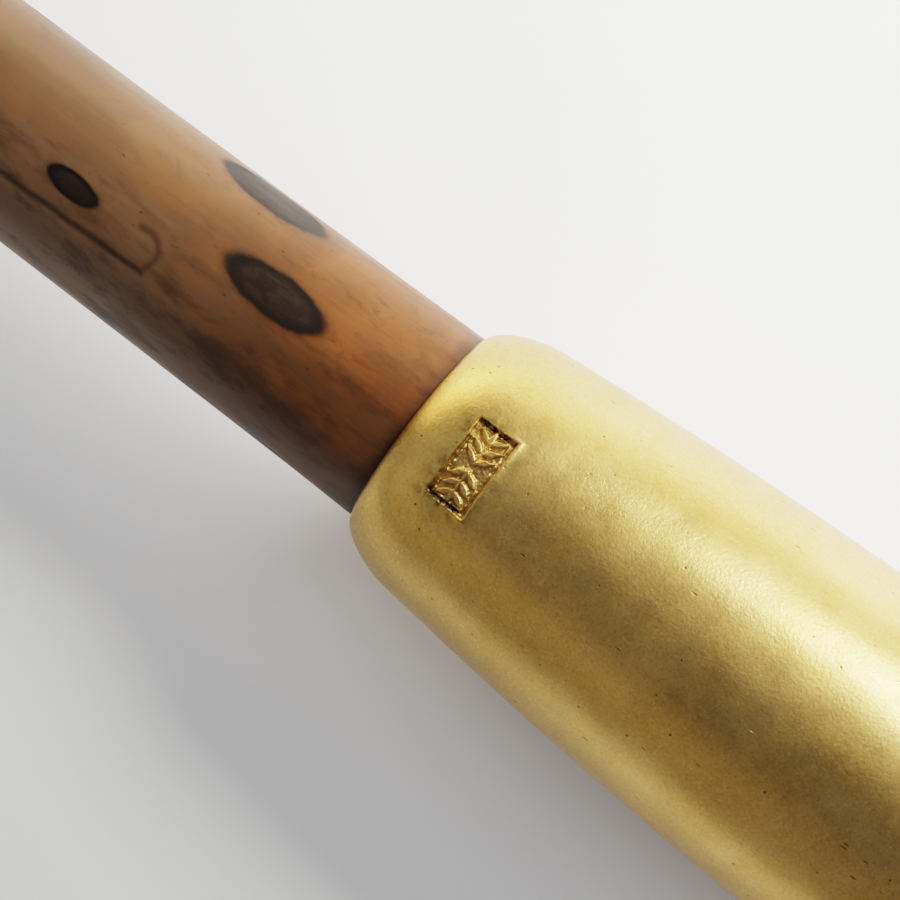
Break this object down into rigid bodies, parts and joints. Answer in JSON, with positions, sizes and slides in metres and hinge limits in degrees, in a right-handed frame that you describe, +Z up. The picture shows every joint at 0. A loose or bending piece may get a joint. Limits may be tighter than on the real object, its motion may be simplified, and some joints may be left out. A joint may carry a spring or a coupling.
{
  "type": "dip pen holder",
  "caption": "Dip pen holder with a speckled bamboo handle, a barrel-shaped turned brass grip with a small struck leaf seal, and a removable pointed steel nib.",
  "frame": {"origin": "centre of the nib sleeve's mouth, on the pen's axis", "axes": "+X along the pen towards the nib's tip, +Z up through the top of the nib and the struck seal"},
  "size_m": [0.193, 0.013, 0.013],
  "materials": {
    "brass": "satin, hand polished, slightly mottled",
    "bamboo": "speckled bamboo skin, thin gloss",
    "dowel_wood": "bare turned hardwood",
    "shim_paper": "wound thin paper",
    "sleeve_steel": "nickel plated",
    "spring_steel": "plain spring steel",
    "nib_steel": "pressed and polished steel, blued at the shoulders"
  },
  "bodies": {
    "holder": {"brass_grip": "brass", "bamboo_handle": "bamboo", "handle_core": "dowel_wood", "joint_shim": "shim_paper", "tail_dowel": "dowel_wood", "tail_cap": "brass", "nib_sleeve": "sleeve_steel", "socket_plug": "dowel_wood", "nib_claws": "spring_steel", "claw_screw": "spring_steel"},
    "nib": {"nib": "nib_steel"}
  },
  "joints": [
    {"name": "nib_pull", "type": "slide", "parent": "holder", "child": "nib", "axis": [1, 0, 0], "range_m": [0, 0.03]}
  ]
}
